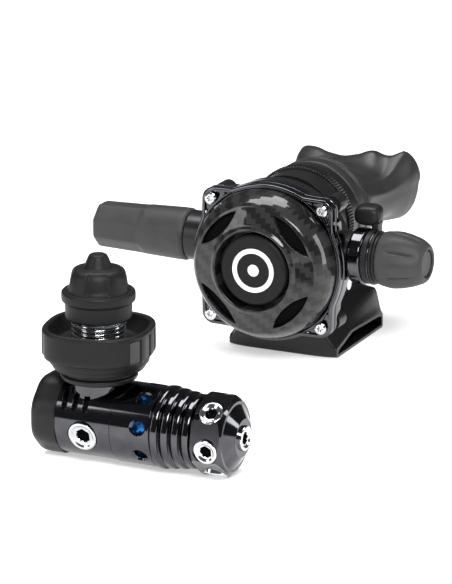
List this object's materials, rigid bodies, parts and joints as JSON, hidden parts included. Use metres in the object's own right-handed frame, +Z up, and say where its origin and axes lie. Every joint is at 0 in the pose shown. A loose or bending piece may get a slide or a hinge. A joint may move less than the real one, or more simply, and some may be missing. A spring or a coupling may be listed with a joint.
{
  "type": "scuba regulator set",
  "caption": "Diving regulator set: second stage with purge cover, mouthpiece and exhaust tee, and a piston first stage with a DIN connector and swivel turret.",
  "frame": {"origin": "on the ground in the middle of the footprint of the two stages", "axes": "+X along both barrels from the hose side to the adjustment knob and the turret, +Y from the first stage past the second stage to its mouthpiece, +Z up"},
  "size_m": [0.1636, 0.28, 0.088],
  "materials": {
    "black_chrome": "dark polished plating",
    "bright_chrome": "polished plating",
    "brass": "machined",
    "black_plastic": "satin moulded",
    "carbon": "twill carbon laminate under clear coat",
    "charcoal_rubber": "fine moulded grain",
    "mouth_rubber": "satin silicone rubber",
    "white_mark": "moulded",
    "grey_grip": "moulded grip",
    "oring_rubber": "smooth",
    "membrane": "translucent silicone",
    "blue_sleeve": "anodised blue",
    "spring_steel": "drawn wire",
    "steel": "turned",
    "seat_plastic": "machined",
    "filter_bronze": "sintered"
  },
  "bodies": {
    "second_stage": {"case_body": "black_plastic", "side_lock_screw": "bright_chrome", "front_frame": "black_chrome", "grip_bands": "black_plastic", "cover_screws": "bright_chrome", "carbon_cover": "carbon", "purge_spring": "spring_steel", "diaphragm": "membrane", "diaphragm_ring": "black_plastic", "valve_barrel": "bright_chrome", "orifice": "brass", "poppet_spring": "spring_steel", "barrel_end_nut": "bright_chrome", "stem_oring": "oring_rubber", "barrel_collar": "black_chrome", "barrel_washers": "black_plastic", "mouthpiece": "mouth_rubber", "mouthpiece_clamp": "black_plastic", "exhaust_tee": "black_plastic", "exhaust_valve": "membrane", "exhaust_valve_seat": "black_plastic", "inlet_fitting": "bright_chrome", "hose_nut": "bright_chrome"},
    "purge": {"purge_button": "charcoal_rubber", "purge_symbol": "white_mark"},
    "diaphragm_centre": {"diaphragm_disc": "seat_plastic"},
    "lever": {"demand_lever": "steel"},
    "poppet_unit": {"poppet": "seat_plastic", "poppet_seat": "oring_rubber"},
    "adjuster": {"adjustment_knob": "charcoal_rubber", "knob_disc": "grey_grip", "adjuster_stem": "brass"},
    "pad": {"spring_pad": "brass"},
    "venturi": {"venturi_lever": "black_plastic", "venturi_vane": "black_plastic"},
    "hose_end": {"hose_protector": "charcoal_rubber", "hose_ferrule": "bright_chrome"},
    "first_stage": {"first_stage_body": "black_chrome", "end_guard": "charcoal_rubber", "saddle_guard": "charcoal_rubber", "high_pressure_plugs": "bright_chrome", "seat_retainer": "brass", "high_pressure_seat": "seat_plastic", "ambient_chamber": "black_chrome", "thermal_sleeve": "blue_sleeve", "piston_housing": "black_chrome", "turret_bushing": "brass", "din_inlet": "bright_chrome", "din_face_oring": "oring_rubber", "inlet_filter": "filter_bronze", "main_spring": "spring_steel"},
    "turret_unit": {"turret": "black_chrome", "low_pressure_plugs": "bright_chrome", "low_pressure_orings": "oring_rubber"},
    "piston_unit": {"piston": "steel", "piston_head_oring": "oring_rubber"},
    "wheel": {"din_handwheel": "charcoal_rubber", "wheel_grip_pads": "grey_grip", "din_threaded_sleeve": "bright_chrome"},
    "cap": {"dust_cap": "charcoal_rubber"}
  },
  "joints": [
    {"name": "purge_press", "type": "slide", "parent": "second_stage", "child": "purge", "axis": [0, 1, 0], "range_m": [0, 0.0025], "stiffness_N_per_m": 800, "deforming": ["purge_spring"]},
    {"name": "diaphragm_travel", "type": "slide", "parent": "second_stage", "child": "diaphragm_centre", "axis": [0, 1, 0], "range_m": [0, 0.0025], "deforming": ["diaphragm"]},
    {"name": "demand_lever_swing", "type": "hinge", "parent": "second_stage", "child": "lever", "pos_m": [0.0224, 0.038, 0.051], "axis": [0, 0, -1], "range_deg": [0, 10.8]},
    {"name": "poppet_travel", "type": "slide", "parent": "second_stage", "child": "poppet_unit", "axis": [1, 0, 0], "range_m": [0, 0.0011], "deforming": ["poppet_spring"]},
    {"name": "knob_turn", "type": "hinge", "parent": "second_stage", "child": "adjuster", "pos_m": [0.0698, 0.045, 0.051], "axis": [1, 0, 0], "range_deg": [-360, 360]},
    {"name": "spring_pad_travel", "type": "slide", "parent": "second_stage", "child": "pad", "axis": [1, 0, 0], "range_m": [-0.00101, 0.00101]},
    {"name": "venturi_swing", "type": "hinge", "parent": "second_stage", "child": "venturi", "pos_m": [0.0538, 0.045, 0.051], "axis": [1, 0, 0], "range_deg": [-45, 0]},
    {"name": "hose_swivel", "type": "hinge", "parent": "second_stage", "child": "hose_end", "pos_m": [-0.0582, 0.045, 0.051], "axis": [1, 0, 0], "continuous": true},
    {"name": "first_stage_lift", "type": "slide", "parent": "second_stage", "child": "first_stage", "axis": [0, 0, 1], "range_m": [0, 0.12]},
    {"name": "turret_swivel", "type": "hinge", "parent": "first_stage", "child": "turret_unit", "pos_m": [0.0564, -0.1184, 0.0176], "axis": [1, 0, 0], "continuous": true},
    {"name": "piston_travel", "type": "slide", "parent": "first_stage", "child": "piston_unit", "axis": [-1, 0, 0], "range_m": [0, 0.0015], "stiffness_N_per_m": 5000, "deforming": ["main_spring"]},
    {"name": "wheel_turn", "type": "hinge", "parent": "first_stage", "child": "wheel", "pos_m": [0.0004, -0.1184, 0.0476], "axis": [0, 0, 1], "continuous": true},
    {"name": "cap_lift", "type": "slide", "parent": "wheel", "child": "cap", "axis": [0, 0, 1], "range_m": [0, 0.04]}
  ],
  "couplings": [
    {"joint": "diaphragm_travel", "follows": "purge_press", "ratio": 1},
    {"joint": "demand_lever_swing", "follows": "purge_press", "rad_per_m": 74},
    {"joint": "poppet_travel", "follows": "purge_press", "ratio": 0.42},
    {"joint": "spring_pad_travel", "follows": "knob_turn", "m_per_rad": 0.000159}
  ]
}
